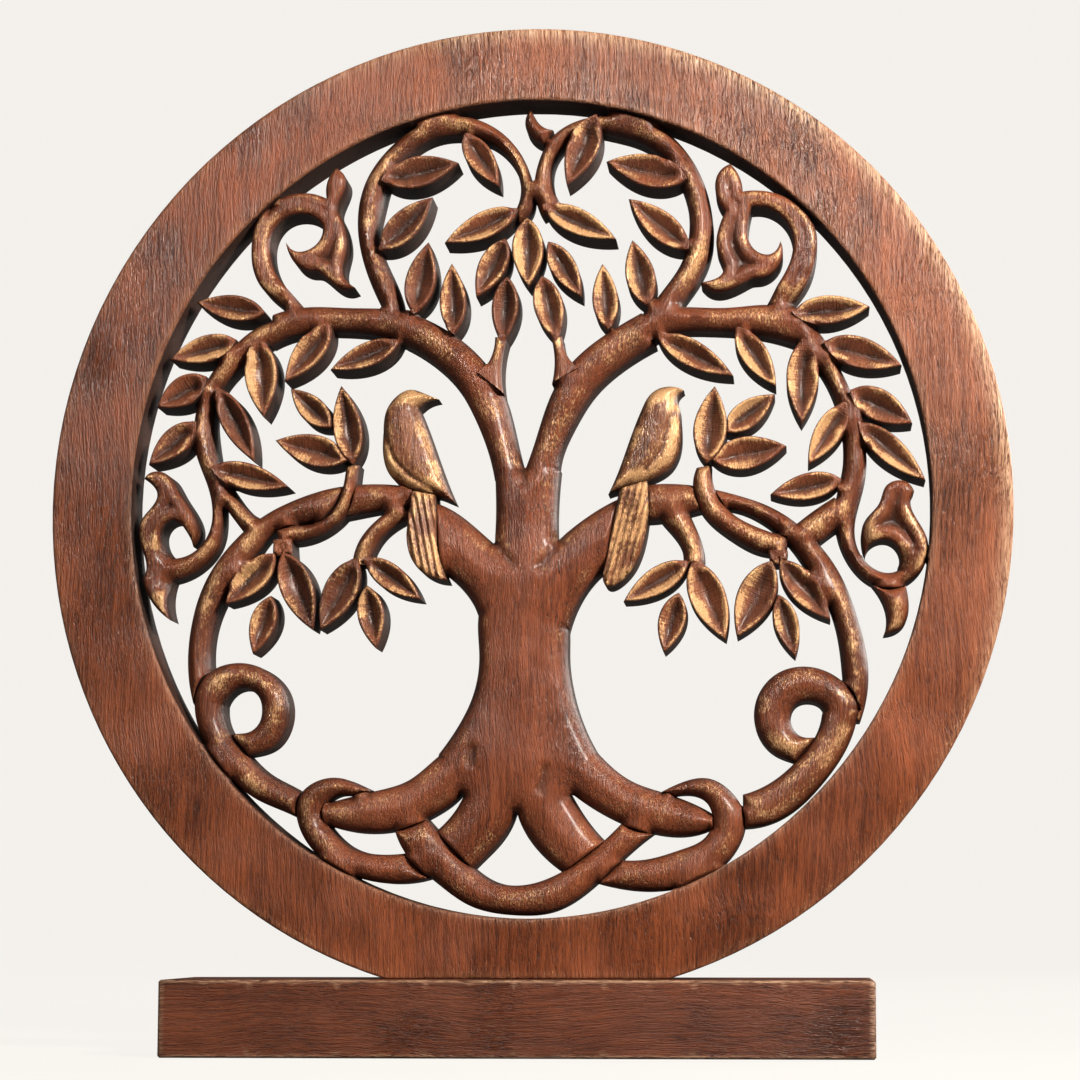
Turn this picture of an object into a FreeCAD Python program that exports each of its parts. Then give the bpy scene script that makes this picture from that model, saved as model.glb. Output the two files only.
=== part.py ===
import FreeCAD, Part
import os
import Sketcher
from FreeCAD import Placement, Rotation, Vector

# Tree-of-life panel: an oval hardwood frame with a pierced, carved tree inside it,
# standing on a separate rectangular base board.
#
# Frame: +Z up, the carved face looks towards -Y, and the origin lies under the middle of
# the panel on the surface that the base rests on. "left" and "right" are the viewer's, so
# left is -X. All lengths are millimetres.
#
# An outline point is (x, z) on the panel's face. The carver saws the panel out of one
# board and parts its vines, leaves and roots with V-cuts. Each element between those cuts
# is a solid of its own here, and where two cross, the one in front trims the one behind.

os.makedirs("parts", exist_ok=True)
doc = FreeCAD.newDocument("tree_of_life")

# ---------------------------------------------------------------- driving dimensions
sizes = doc.addObject("Spreadsheet::Sheet", "Sizes")
DIMENSIONS = [
    ("panel_thickness", 20.0),      # the board that the frame and tree are sawn from
    ("tree_setback", 1.0),          # the tree's face lies this far behind the frame's
    ("frame_width", 384.8),         # outer oval of the frame
    ("frame_height", 391.2),
    ("frame_centre", 217.2),
    ("opening_width", 320.8),       # inner oval of the frame
    ("opening_height", 329.6),
    ("opening_centre", 218.4),
    ("base_width", 277.0),
    ("base_depth", 62.0),
    ("base_thickness", 30.0),
    ("base_offset", 2.5),           # the base sits this far left of the panel's middle
    ("base_edge", 0.8),
    ("screw_spacing", 38.0),
    ("screw_shank", 4.0),
    ("screw_length", 35.0),
    ("screw_point", 5.0),
    ("screw_head", 8.0),
    ("screw_head_height", 2.6),
    ("counterbore", 10.0),
    ("counterbore_depth", 12.0),
]
for row, (alias, value) in enumerate(DIMENSIONS, start=1):
    sizes.set("A%d" % row, alias.replace("_", " "))
    sizes.set("B%d" % row, str(value))
    sizes.setAlias("B%d" % row, alias)
doc.recompute()

SUB_PARTS = []                      # (node name, finished object)


def keep(name, finished):
    """Label a finished sub-part with its node's name and list it for export."""
    finished.Label = name
    SUB_PARTS.append((name, finished))


# ---------------------------------------------------------------- sketches on a body's planes
def sketch_on(body, name, role):
    """A sketch on one of the body's own origin planes, such as XY_Plane."""
    sketch = body.newObject("Sketcher::SketchObject", name)
    plane = next(item for item in body.Origin.OriginFeatures if item.Role == role)
    sketch.AttachmentSupport = [(plane, "")]
    sketch.MapMode = "FlatFace"
    return sketch


def bind(sketch, constraint, name, formula):
    """Add a named size to a sketch and tie it to the sheet."""
    index = sketch.addConstraint(constraint)
    sketch.renameConstraint(index, name)
    sketch.setExpression("Constraints." + name, formula)


def draw_oval(sketch, width, height, centre):
    """An oval whose two diameters and height above the resting surface come from the sheet."""
    wide, high, middle = sizes.get(width), sizes.get(height), sizes.get(centre)
    top = Vector(0, middle + high / 2, 0)
    side = Vector(-wide / 2, middle, 0)
    sketch.addGeometry(Part.Ellipse(top, side, Vector(0, middle, 0)), False)
    sketch.exposeInternalGeometry(0)
    sketch.addConstraint(Sketcher.Constraint("PointOnObject", 0, 3, -2))
    sketch.addConstraint(Sketcher.Constraint("Vertical", 1))
    bind(sketch, Sketcher.Constraint("DistanceY", -1, 1, 0, 3, middle), "rise", "Sizes." + centre)
    bind(sketch, Sketcher.Constraint("Distance", 1, high), "high", "Sizes." + height)
    bind(sketch, Sketcher.Constraint("Distance", 2, wide), "wide", "Sizes." + width)


def draw_rectangle(sketch, left, below, wide, high):
    """A rectangle. Each size is (value, formula); left and below reach back past the origin."""
    x0, y0 = -left[0], -below[0]
    corners = [Vector(x0, y0, 0), Vector(x0 + wide[0], y0, 0),
               Vector(x0 + wide[0], y0 + high[0], 0), Vector(x0, y0 + high[0], 0)]
    for start, end in zip(corners, corners[1:] + corners[:1]):
        sketch.addGeometry(Part.LineSegment(start, end), False)
    for line, direction in enumerate(("Horizontal", "Vertical", "Horizontal", "Vertical")):
        sketch.addConstraint(Sketcher.Constraint("Coincident", line, 2, (line + 1) % 4, 1))
        sketch.addConstraint(Sketcher.Constraint(direction, line))
    bind(sketch, Sketcher.Constraint("DistanceX", 0, 1, 0, 2, wide[0]), "wide", wide[1])
    bind(sketch, Sketcher.Constraint("DistanceY", 1, 1, 1, 2, high[0]), "high", high[1])
    bind(sketch, Sketcher.Constraint("DistanceX", 0, 1, -1, 1, left[0]), "left", left[1])
    if below[0] == 0:
        sketch.addConstraint(Sketcher.Constraint("PointOnObject", 0, 1, -1))
    else:
        bind(sketch, Sketcher.Constraint("DistanceY", 0, 1, -1, 1, below[0]), "below", below[1])


def draw_screw_circles(sketch, diameter):
    """Three circles in a row across the origin, one for each screw."""
    spacing, width = sizes.get("screw_spacing"), sizes.get(diameter)
    for number, place in enumerate((-spacing, 0, spacing)):
        sketch.addGeometry(Part.Circle(Vector(place, 0, 0), Vector(0, 0, 1), width / 2), False)
        bind(sketch, Sketcher.Constraint("Diameter", number, width),
             "width_%d" % number, "Sizes." + diameter)
    sketch.addConstraint(Sketcher.Constraint("Coincident", 1, 3, -1, 1))
    for number, name in ((0, "left"), (2, "right")):
        first, second = sorted((number, 1))
        sketch.addConstraint(Sketcher.Constraint("PointOnObject", number, 3, -1))
        bind(sketch, Sketcher.Constraint("DistanceX", first, 3, second, 3, spacing),
             name, "Sizes.screw_spacing")


def add_feature(body, kind, name, sketch, length, **options):
    """A Pad or Pocket of the sketch, its length tied to the sheet."""
    feature = body.newObject("PartDesign::" + kind, name)
    feature.Profile = sketch
    for option, value in options.items():
        setattr(feature, option, value)
    feature.setExpression("Length", length)
    doc.recompute()
    return feature


# ---------------------------------------------------------------- frame
def build_ring_frame():
    """Oval ring, sawn flat where it stands on the base and drilled there for the screws."""
    body = doc.addObject("PartDesign::Body", "RingFrame")
    outside = sketch_on(body, "FrameOval", "XZ_Plane")
    draw_oval(outside, "frame_width", "frame_height", "frame_centre")
    add_feature(body, "Pad", "FrameBlank", outside, "Sizes.panel_thickness", Midplane=True)

    inside = sketch_on(body, "OpeningOval", "XZ_Plane")
    draw_oval(inside, "opening_width", "opening_height", "opening_centre")
    add_feature(body, "Pocket", "Opening", inside, "Sizes.panel_thickness * 2", Midplane=True)

    width, rise = sizes.get("frame_width"), sizes.get("base_thickness")
    under = sketch_on(body, "UnderFoot", "XZ_Plane")
    draw_rectangle(under, (width / 2, "Sizes.frame_width / 2"), (0, ""),
                   (width, "Sizes.frame_width"), (rise, "Sizes.base_thickness"))
    add_feature(body, "Pocket", "FlatFoot", under, "Sizes.panel_thickness * 2", Midplane=True)

    circles = sketch_on(body, "PilotCircles", "XY_Plane")
    draw_screw_circles(circles, "screw_shank")
    add_feature(body, "Pocket", "PilotHoles", circles,
                "Sizes.counterbore_depth + Sizes.screw_length", Reversed=True)
    keep("ring_frame", body)
    return body


# ---------------------------------------------------------------- base
def build_base_board():
    """Plain rectangular board with eased edges and counterbored screw holes underneath."""
    body = doc.addObject("PartDesign::Body", "BaseBoard")
    width, depth, offset = (sizes.get(n) for n in ("base_width", "base_depth", "base_offset"))
    plan = sketch_on(body, "BasePlan", "XY_Plane")
    draw_rectangle(plan, (width / 2 + offset, "Sizes.base_width / 2 + Sizes.base_offset"),
                   (depth / 2, "Sizes.base_depth / 2"),
                   (width, "Sizes.base_width"), (depth, "Sizes.base_depth"))
    blank = add_feature(body, "Pad", "BaseBlank", plan, "Sizes.base_thickness")

    eased = body.newObject("PartDesign::Chamfer", "EasedEdges")
    eased.Base = (blank, ["Edge%d" % (n + 1) for n in range(len(blank.Shape.Edges))])
    eased.setExpression("Size", "Sizes.base_edge")
    doc.recompute()

    for name, diameter, depth_formula in (
            ("Clearance", "screw_shank", "Sizes.base_thickness"),
            ("Counterbore", "counterbore", "Sizes.counterbore_depth")):
        circles = sketch_on(body, name + "Circles", "XY_Plane")
        draw_screw_circles(circles, diameter)
        add_feature(body, "Pocket", name, circles, depth_formula, Reversed=True)
    keep("base_board", body)


def build_base_screws():
    """Three wood screws that hold the panel down, heads up in the base's counterbores."""
    screws = []
    for number in (-1, 0, 1):
        column = "%d * Sizes.screw_spacing" % number
        head = doc.addObject("Part::Cylinder", "ScrewHead")
        head.setExpression("Radius", "Sizes.screw_head / 2")
        head.setExpression("Height", "Sizes.screw_head_height")
        head.setExpression("Placement.Base.z", "Sizes.counterbore_depth - Sizes.screw_head_height")
        shank = doc.addObject("Part::Cylinder", "ScrewShank")
        shank.setExpression("Radius", "Sizes.screw_shank / 2")
        shank.setExpression("Height", "Sizes.screw_length - Sizes.screw_point")
        shank.setExpression("Placement.Base.z", "Sizes.counterbore_depth")
        point = doc.addObject("Part::Cone", "ScrewPoint")
        point.setExpression("Radius1", "Sizes.screw_shank / 2")
        point.Radius2 = 0.3
        point.setExpression("Height", "Sizes.screw_point")
        point.setExpression("Placement.Base.z",
                            "Sizes.counterbore_depth + Sizes.screw_length - Sizes.screw_point")
        for piece in (head, shank, point):
            piece.setExpression("Placement.Base.x", column)
        screw = doc.addObject("Part::MultiFuse", "Screw")
        screw.Shapes = [head, shank, point]
        screws.append(screw)
    group = doc.addObject("Part::Compound", "BaseScrews")
    group.Links = screws
    keep("base_screws", group)


# ---------------------------------------------------------------- carved elements
def line_or_curve(points):
    """A straight edge through two points, or a smooth curve through more."""
    vectors = [Vector(x, z, 0) for x, z in points]
    if len(vectors) == 2:
        return Part.LineSegment(*vectors)
    curve = Part.BSplineCurve()
    curve.interpolate(vectors)
    return curve


def closed_outline(*runs):
    """Edges joined at corners: each run of points starts where the one before it ends."""
    return [line_or_curve(run) for run in runs]


def strand(one_side, other_side):
    """A vine or root between its two edges, sawn straight across both ends."""
    return closed_outline(one_side, [one_side[-1], other_side[-1]],
                          other_side[::-1], [other_side[0], one_side[0]])


# along the leaf's axis and out from it, as parts of its length and of half its width
LEAF_SIDE = [(0, 0), (0.18, 0.72), (0.45, 1), (0.78, 0.62), (1, 0)]


def leaf(stalk_end, tip, width):
    """A pointed leaf, fullest a little nearer to its stalk."""
    base = Vector(stalk_end[0], stalk_end[1], 0)
    axis = Vector(tip[0], tip[1], 0) - base
    across = Vector(-axis.y, axis.x, 0).normalize() * (width / 2)
    sides = []
    for side in (1, -1):
        places = [base + axis * along + across * out * side for along, out in LEAF_SIDE]
        sides.append([(place.x, place.y) for place in places])
    return closed_outline(sides[0], sides[1][::-1])


IN_FRONT = []                       # carved solids that trim those made after them
SMALLEST_TRIM = 0.5                 # mm3; less than this is only a touch


def carved_solid(name, outline):
    """Saw the outline through the board and trim it where earlier elements cross it."""
    sketch = doc.addObject("Sketcher::SketchObject", name + "_outline")
    sketch.Placement = Placement(Vector(0, 0, 0), Rotation(Vector(1, 0, 0), 90))
    sketch.setExpression("Placement.Base.y", "Sizes.panel_thickness / 2")
    sketch.addGeometry(outline, False)
    for edge in range(len(outline)):
        sketch.addConstraint(
            Sketcher.Constraint("Coincident", edge, 2, (edge + 1) % len(outline), 1))
    solid = doc.addObject("Part::Extrusion", name + "_sawn")
    solid.Base = sketch
    solid.DirMode = "Normal"
    solid.Solid = True
    solid.setExpression("LengthFwd", "Sizes.panel_thickness - Sizes.tree_setback")
    doc.recompute([sketch, solid])
    for front in IN_FRONT:
        if not solid.Shape.BoundBox.intersect(front.Shape.BoundBox):
            continue
        if solid.Shape.common(front.Shape).Volume < SMALLEST_TRIM:
            continue
        trimmed = doc.addObject("Part::Cut", name + "_trimmed")
        trimmed.Base = solid
        trimmed.Tool = front
        doc.recompute([trimmed])
        solid = trimmed
    IN_FRONT.append(solid)
    return solid


def carve(name, outline):
    """A carved element that is a sub-part by itself."""
    keep(name, carved_solid(name, outline))


def leaf_spray(name, leaves, stalks=()):
    """Leaves that grow together, with their stalks, front ones first."""
    solids = []
    for number, (stalk_end, tip, width) in enumerate(leaves, start=1):
        solids.append(carved_solid("%s_%d" % (name, number), leaf(stalk_end, tip, width)))
    for stalk in stalks:
        solids.append(carved_solid(name + "_stalk", stalk))
    spray = doc.addObject("Part::Compound", name + "_spray")
    spray.Links = solids
    keep(name, spray)


IN_FRONT.append(build_ring_frame())
build_base_board()
build_base_screws()

# ---------------------------------------------------------------- birds
# Two perched birds facing outwards; the ribbed tail is parted from the body by a cut.
carve("left_bird", closed_outline(
    [(-37, 262.5), (-43, 265), (-49, 266.5), (-55, 263), (-58.5, 257.5), (-59.5, 249), (-59.5, 239.5),
     (-57, 232), (-51.5, 227), (-37, 223)],
    [(-37, 223), (-30, 220)],
    [(-30, 220), (-34.5, 230.5), (-38.5, 241.5), (-42.5, 252.5), (-45, 258.5)],
    [(-45, 258.5), (-42, 261), (-37, 262.5)]))
carve("right_bird", closed_outline(
    [(62, 265), (55.5, 266.5), (49, 264), (45, 257.5), (41, 247.5), (37, 236), (31.5, 223)],
    [(31.5, 223), (38, 225), (49, 228.5), (56.5, 233), (60.5, 241), (61, 249.5), (60.5, 257.5)],
    [(60.5, 257.5), (59.5, 262.5), (62, 265)]))
carve("left_bird_tail", closed_outline(
    [(-47, 226.5), (-48.5, 215.5), (-49, 203.5), (-46, 195), (-39.5, 189.5), (-32.5, 188)],
    [(-32.5, 188), (-36, 199.5), (-37, 211.5), (-38, 225)],
    [(-38, 225), (-47, 226.5)]))
carve("right_bird_tail", closed_outline(
    [(37, 227.5), (34.5, 215.5), (32, 201.5), (29.5, 189)],
    [(29.5, 189), (31.5, 185), (39, 189), (43.5, 195.5), (47, 207.5), (48, 217.5), (47, 229.5)],
    [(47, 229.5), (37, 227.5)]))

# ---------------------------------------------------------------- leaves
# Each leaf is (stalk end, tip, width); the sprays are grouped by the wood they grow from.
leaf_spray("left_crown_leaves", [
    ((-60.5, 352), (-29, 358.5), 13),
    ((-61, 323), (-39.5, 344.5), 12),
    ((-27, 371), (-12.5, 348.5), 11),
    ((-4.5, 339), (-34.5, 325.5), 11)])
leaf_spray("right_crown_leaves", [
    ((27, 377.5), (15, 348.5), 13),
    ((63.5, 350.5), (31, 358), 13.5),
    ((64.5, 321.5), (40, 342.5), 12),
    ((5, 340.5), (35, 326), 11)])
leaf_spray("center_leaves", [
    ((-1, 335.5), (-0.5, 307), 13),
    ((-9.5, 327), (-21.5, 303), 11.5),
    ((-9, 311.5), (-11, 283.5), 11),
    ((7.5, 325.5), (21, 302.5), 10.5),
    ((5, 311.5), (11, 284.5), 12)],
    stalks=[
    strand(
        [(-14, 287), (-15.5, 279), (-20.5, 272)],
        [(-9, 287), (-11, 277), (-10.5, 264)]),
    strand(
        [(8.5, 287), (10, 279), (9, 267.5)],
        [(13, 287), (15, 279.5), (19.5, 273.5)])])
leaf_spray("left_bough_leaves", [
    ((-47, 296.5), (-41, 326), 12.5),
    ((-30.5, 288), (-31.5, 317), 11),
    ((-52.5, 285.5), (-80.5, 274), 10.5)])
leaf_spray("right_bough_leaves", [
    ((31.5, 289), (29.5, 316), 10.5),
    ((47.5, 298.5), (41.5, 325.5), 12),
    ((51, 287), (82, 269.5), 11)])
leaf_spray("left_outer_leaves", [
    ((-107.5, 298), (-135.5, 302.5), 11),
    ((-119, 287), (-146, 279), 11),
    ((-131, 272), (-151, 259.5), 12),
    ((-135, 253.5), (-154, 236), 11.5)])
leaf_spray("left_inner_leaves", [
    ((-110, 287.5), (-107.5, 255), 13.5),
    ((-80.5, 293), (-99, 269.5), 11.5),
    ((-126.5, 267.5), (-111, 237), 11),
    ((-129, 235), (-97, 226.5), 11)])
leaf_spray("right_outer_leaves", [
    ((105.5, 295), (136.5, 297), 12),
    ((118, 283), (149, 273), 13),
    ((128.5, 263.5), (153, 249.5), 13),
    ((131.5, 250.5), (158, 226.5), 11)])
leaf_spray("right_inner_leaves", [
    ((83, 289.5), (99, 265), 11),
    ((110, 284.5), (109, 250), 13),
    ((127, 258.5), (111.5, 233.5), 11),
    ((125, 227.5), (96.5, 221.5), 11)])
leaf_spray("left_middle_leaves", [
    ((-71, 235.5), (-76, 267.5), 12),
    ((-73, 237.5), (-102.5, 245.5), 13),
    ((-80, 250.5), (-96.5, 266.5), 10.5)])
leaf_spray("right_middle_leaves", [
    ((71, 234.5), (74.5, 265.5), 13.5),
    ((73, 236), (103, 241), 13.5),
    ((78, 247), (98.5, 262), 11)])
leaf_spray("left_low_leaves", [
    ((-69, 197.5), (-83.5, 168.5), 13.5),
    ((-66, 197.5), (-43, 180.5), 10.5),
    ((-65, 186.5), (-61, 161), 11)])
leaf_spray("right_low_leaves", [
    ((65.5, 195.5), (78.5, 163.5), 14.5),
    ((64, 195), (38, 179), 11),
    ((60, 182.5), (54, 158.5), 11)])
leaf_spray("left_corner_leaves", [
    ((-99, 200.5), (-86.5, 168.5), 13.5),
    ((-102, 199.5), (-122, 179), 12),
    ((-103.5, 182.5), (-110.5, 159), 10.5)],
    stalks=[strand(
        [(-103, 205.2), (-103, 198.5)],
        [(-95.5, 205.2), (-95, 198.5)])])
leaf_spray("right_corner_leaves", [
    ((97, 195), (83, 164.5), 15),
    ((100, 195.5), (120, 171), 12),
    ((99.5, 181.5), (106, 156.5), 10)],
    stalks=[strand(
        [(95.5, 199.3), (96.5, 193.5)],
        [(103.3, 199), (102.5, 193.5)])])

# ---------------------------------------------------------------- trunk and roots
# The trunk flares into two arms; the swag of root hangs between them in front of the two
# inner roots, whose far ends come round as the loops.
carve("trunk", closed_outline(
    [(-14.5, 233.5), (-14, 219.5), (-14.5, 204.5), (-17, 189.5), (-21, 173.5), (-20.5, 159.5),
     (-22, 145.5), (-28, 131.5), (-37, 118.5)],
    [(-37, 118.5), (-23.5, 114.5)],
    [(-23.5, 114.5), (-6, 105)],
    [(-6, 105), (9.5, 109.5)],
    [(9.5, 109.5), (27, 119.5)],
    [(27, 119.5), (20.5, 133), (17, 145.5), (15.5, 157.5), (15.5, 167.5), (13, 185.5), (11, 203.5),
     (11, 221.5), (12, 233.5)],
    [(12, 233.5), (-14.5, 233.5)]))
carve("left_root", closed_outline(
    [(-31, 122.5), (-37, 118), (-49, 108.5), (-62, 104.5), (-72.5, 102), (-81.3, 99.6)],
    [(-81.3, 99.6), (-82.4, 95.4), (-80.6, 90.8)],
    [(-80.6, 90.8), (-65, 87.5), (-51, 89), (-37, 95), (-27.5, 102.5), (-23.5, 114.5)],
    [(-23.5, 114.5), (-31, 122.5)]))
carve("right_root", strand(
    [(22, 125), (27.5, 119), (41, 108), (53.5, 103.5), (65.5, 99), (73, 95)],
    [(9.5, 109.5), (19, 101.5), (37, 91), (49.5, 87), (63, 86), (73, 89)]))
carve("root_swag", strand(
    [(-46, 98.5), (-37, 89), (-23, 74.5), (-13, 68), (-1, 67), (13, 72), (29, 83.5), (41, 95.5)],
    [(-54, 90.5), (-48.5, 78.5), (-37, 68), (-23, 58.5), (-7, 55), (9, 56), (29, 69), (54, 89.5)]))
carve("left_inner_root", closed_outline(
    [(-25, 117.5), (-26, 103.5), (-32.5, 93), (-42, 85)],
    [(-42, 85), (-27, 66.5)],
    [(-27, 66.5), (-22, 73), (-11, 84.5), (-5.5, 95.5), (-5.5, 107.5)],
    [(-5.5, 107.5), (-25, 117.5)]))
carve("right_inner_root", closed_outline(
    [(-5.5, 107.5), (-5, 95.5), (1, 83.5), (18, 69)],
    [(18, 69), (34, 81)],
    [(34, 81), (27, 87.5), (19, 98.5), (11, 113.5)],
    [(11, 113.5), (-5.5, 107.5)]))
carve("left_root_loop", strand(
    [(-56.5, 103), (-65, 105.5), (-75, 109.5), (-86, 108), (-92.5, 101.5), (-92.5, 91.5), (-83, 77.5),
     (-67, 69.5), (-49, 67.5), (-31, 73)],
    [(-56.5, 101.5), (-67, 101.5), (-75, 102.8), (-80.5, 100), (-81.8, 95.4), (-78, 88), (-70, 81.5),
     (-57, 79), (-41, 81), (-31, 83.5)]))
carve("right_root_loop", strand(
    [(49, 101.5), (61, 107.5), (71.5, 109), (81, 103), (86, 93), (83.5, 82.5), (73, 71), (53.5, 64.5),
     (35, 65.5), (21, 69.5)],
    [(51, 99), (62, 102.5), (69.5, 100.5), (73, 93), (70, 85.5), (61, 81), (47, 77), (35, 77),
     (23, 81.5)]))
carve("left_curl_stem", strand(
    [(-90.5, 92.5), (-96.5, 95.5), (-110, 101.5), (-123, 113), (-132, 126.5), (-135, 140)],
    [(-90, 103), (-93, 105), (-105, 111.5), (-114.5, 120.5), (-121, 129), (-123, 139)]))
carve("left_curl", strand(
    [(-133, 135), (-134.8, 142), (-131, 150.5), (-119, 156), (-107, 153.5), (-98.5, 145.5),
     (-96.5, 133), (-103, 121.5), (-112, 118.5), (-120, 117.5)],
    [(-123, 135), (-120.5, 143), (-115, 145.5), (-109.5, 143), (-107.5, 137), (-109, 131),
     (-113, 128), (-118, 127.5), (-123, 125)]))
carve("right_curl_stem", strand(
    [(85, 89), (104, 95), (117, 107.5), (127, 122.5), (131, 136)],
    [(85, 102.5), (98, 108.5), (107, 116.5), (113.5, 125), (116.5, 135)]))
carve("right_curl", strand(
    [(129, 132), (130.5, 139), (125, 147), (113, 153), (99.5, 151), (91, 141.5), (90.5, 127.5),
     (96.5, 119), (105, 115.2), (113, 113)],
    [(116.8, 132), (115.5, 137.5), (111, 139), (106, 137.5), (104, 132), (106, 127), (109.5, 125),
     (113, 125), (117, 123.5)]))

# ---------------------------------------------------------------- boughs and branches
carve("left_bough", strand(
    [(-14.5, 229.5), (-16.5, 238.5), (-22.5, 254.5), (-31, 269), (-41, 278.5), (-51.5, 285)],
    [(-2.5, 233.5), (-7, 251.5), (-11, 265), (-18, 277), (-30, 288.5), (-45, 297)]))
carve("right_bough", strand(
    [(-2.5, 233.5), (3, 249.5), (7, 261.5), (13, 273), (27, 286.5), (45, 297.5)],
    [(11.5, 229.5), (13, 241.5), (17.5, 251.5), (26, 265), (37, 275), (51, 283.5)]))
carve("left_lower_bough", strand(
    [(-13, 202.5), (-20.5, 209), (-27, 214.5), (-39.5, 221)],
    [(-20, 169.5), (-24, 181), (-29, 187), (-36.5, 193.5)]))
carve("right_lower_bough", strand(
    [(11, 205), (19, 211.5), (27, 217), (40.5, 223.5)],
    [(15.5, 168), (19.5, 179), (25.5, 188), (34, 195)]))
carve("left_branch", strand(
    [(-43, 296), (-55, 300), (-73, 301), (-93, 301.5), (-106, 298.5)],
    [(-48.5, 283.5), (-57, 287.5), (-77, 290.5), (-93, 290), (-106, 285.5)]))
carve("right_branch", strand(
    [(43, 296), (57, 299.5), (79, 299), (93, 300), (107, 298.5)],
    [(47, 283), (55.5, 288), (71, 289), (93, 287), (107, 283)]))

# ---------------------------------------------------------------- vines
# Rounded stems that arch from the boughs round to the frame and the curls.
carve("left_top_vine", strand(
    [(-60, 299), (-67, 314.5), (-70.5, 327.5), (-71, 341.5), (-67.5, 354.5), (-59, 366.5),
     (-46, 376.5), (-29, 380), (-15, 375), (-5, 365), (0.5, 351.5), (1, 342.5), (-5, 334.5)],
    [(-52, 299), (-58, 317), (-62.5, 330.5), (-61, 341.5), (-57, 355), (-49, 365), (-39, 370.5),
     (-29, 371.5), (-17, 368.5), (-8.5, 361), (-4.5, 350.5), (-7.5, 339)]))
carve("right_top_vine", strand(
    [(56.5, 293), (60.5, 299), (68, 309.5), (73, 321), (73.5, 337), (69, 353.5), (59.5, 368), (47, 377),
     (31, 379.5), (18, 377), (8.5, 371), (2.5, 359.5), (1, 349), (5, 337)],
    [(47, 297), (51.5, 304), (60, 316), (64, 329), (62, 347), (55, 359.5), (44.5, 367), (31.5, 371),
     (22, 372), (14, 367), (9, 358.5), (9, 349.5), (13, 341.5)]))
carve("top_bud", closed_outline(
    [(0, 381.5), (-2.5, 375), (0.5, 369.5), (5, 367)],
    [(5, 367), (9, 373)],
    [(9, 373), (4.5, 374.5), (2, 377.5), (0, 381.5)]))
carve("left_stem", strand(
    [(-100, 297), (-115, 291.5), (-124.5, 282.5), (-133, 270.5), (-137, 257.5), (-137, 243.5),
     (-132, 229.5), (-129.5, 219.5), (-131, 208.5), (-136, 202), (-146, 199)],
    [(-100, 291), (-112, 281.5), (-121, 273.5), (-127.5, 263.5), (-128, 245.5), (-125.5, 229.5),
     (-124.5, 215.5), (-126, 204.5), (-133, 195), (-146, 189)]))
carve("right_stem", strand(
    [(102, 297), (114, 291), (125, 273), (131.5, 257.5), (134.5, 243.5), (134.5, 229.5),
     (131.5, 217.5), (130, 205.5), (133, 197), (141, 191), (149, 193)],
    [(102, 287), (113, 277), (121, 263.5), (125.5, 245.5), (125, 231.5), (122.5, 219.5), (123, 205.5),
     (127, 195.5), (135.5, 186.5), (149, 185)]))
carve("left_twig", strand(
    [(-74.5, 236), (-75.5, 228), (-79, 219), (-85, 213), (-92.5, 211.5), (-102.5, 209.5)],
    [(-69, 236), (-70, 227.5), (-72, 219), (-78.5, 211), (-90, 205), (-102, 204.5)]))
carve("right_twig", strand(
    [(73, 234.5), (73.5, 227.5), (79, 217), (89.5, 210), (103, 205)],
    [(67, 233.5), (65.5, 225.5), (69, 215.5), (80.5, 205), (91.5, 199), (103, 198.5)]))
carve("left_arch", strand(
    [(-46, 227), (-67.5, 228.5), (-85, 226), (-94, 223), (-109, 215.5), (-121.5, 204.5), (-132, 189),
     (-137, 173), (-138.5, 157.5), (-136, 139.5)],
    [(-46, 218.5), (-67.5, 216), (-81, 213.5), (-93, 212), (-103, 209), (-111, 199.5), (-120.5, 186.5),
     (-127, 173), (-129, 161), (-128, 149)]))
carve("right_arch", strand(
    [(46, 227), (63.5, 227), (82, 223), (97, 217.5), (111.5, 207), (123.5, 191.5), (131.5, 170.5),
     (135, 151.5), (134, 139.5), (131.5, 131)],
    [(46, 212), (63, 214.5), (79, 217), (94, 211), (103, 203), (111.5, 191), (119.5, 177),
     (123.5, 161.5), (125, 145.5), (127, 131)]))
carve("left_connector", strand(
    [(-128.5, 225.5), (-123.5, 218.5), (-115.5, 208)],
    [(-128.5, 234.5), (-122, 228), (-117, 221), (-108.5, 214.5)]))
carve("right_connector", strand(
    [(122, 221.5), (115, 217), (107, 211)],
    [(124, 208.5), (119, 205), (114, 201)]))
carve("left_hanging_twig", strand(
    [(-52.5, 221.5), (-61, 215), (-67, 209), (-70.5, 203), (-72, 196)],
    [(-46, 215), (-54, 211), (-59.5, 206.5), (-63, 201), (-65, 194.5)]))
carve("right_hanging_twig", strand(
    [(50, 216), (54.5, 210), (59, 204.5), (61.5, 195)],
    [(63, 218.5), (66, 211), (69, 203.5), (70, 194.5)]))

# ---------------------------------------------------------------- scrolls
# Curled tendrils that end in a bud with three petals.
carve("left_upper_scroll", closed_outline(
    [(-96.5, 295.5), (-100, 300), (-108.5, 307.5), (-113, 317), (-113.5, 326.5), (-111, 337),
     (-105, 343.5), (-96.5, 347), (-83, 345)],
    [(-83, 345), (-83, 351), (-79, 357.5)],
    [(-79, 357.5), (-75, 350.5), (-77, 345), (-78.5, 339.5)],
    [(-78.5, 339.5), (-75, 331.5), (-74.5, 323.5), (-76, 317), (-71, 308)],
    [(-71, 308), (-77, 307.5), (-83, 312), (-87, 315)],
    [(-87, 315), (-93, 316), (-97.5, 321), (-99.5, 327)],
    [(-99.5, 327), (-94, 323), (-87.5, 325.5), (-84.5, 333.5)],
    [(-84.5, 333.5), (-93, 338.5), (-100, 337), (-105, 331), (-106, 323.5), (-103.5, 314.5),
     (-92.5, 301), (-89, 295.5)],
    [(-89, 295.5), (-96.5, 295.5)]))
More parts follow.
